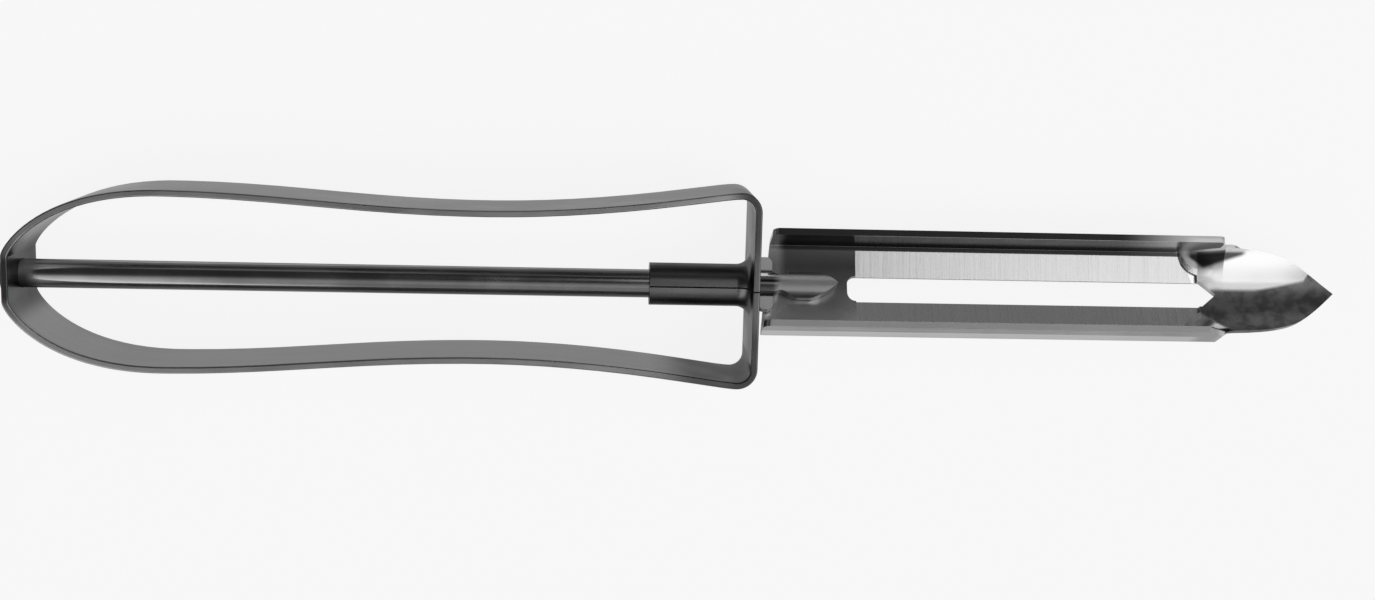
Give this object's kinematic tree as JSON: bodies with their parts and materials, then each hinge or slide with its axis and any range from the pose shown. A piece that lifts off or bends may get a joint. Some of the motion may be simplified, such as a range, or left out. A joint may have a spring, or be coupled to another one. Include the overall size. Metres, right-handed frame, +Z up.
{
  "type": "vegetable peeler",
  "caption": "All-metal swivel vegetable peeler: open loop handle of bent strip, round shank turning in it, and a slotted trough blade with a pointed scoop tip.",
  "frame": {"origin": "under the middle of the whole length, on the plane the handle's lower strip edge lies on", "axes": "+X from the butt of the handle to the blade's tip, along the shank; +Y across the handle loop; +Z up, out of the face the blade's trough opens to"},
  "size_m": [0.1792, 0.0262, 0.013],
  "materials": {
    "handle_strip": "polished plating, fine lengthwise wear",
    "shank_rod": "polished, drawn rod",
    "blade_sheet": "bright rolled sheet, ground bevels beside the slot"
  },
  "bodies": {
    "handle": {"handle_band": "handle_strip"},
    "swivel": {"shank": "shank_rod", "blade": "blade_sheet"}
  },
  "joints": [
    {"name": "blade_swivel", "type": "hinge", "parent": "handle", "child": "swivel", "pos_m": [0, 0, 0.00635], "axis": [1, 0, 0], "continuous": true}
  ]
}
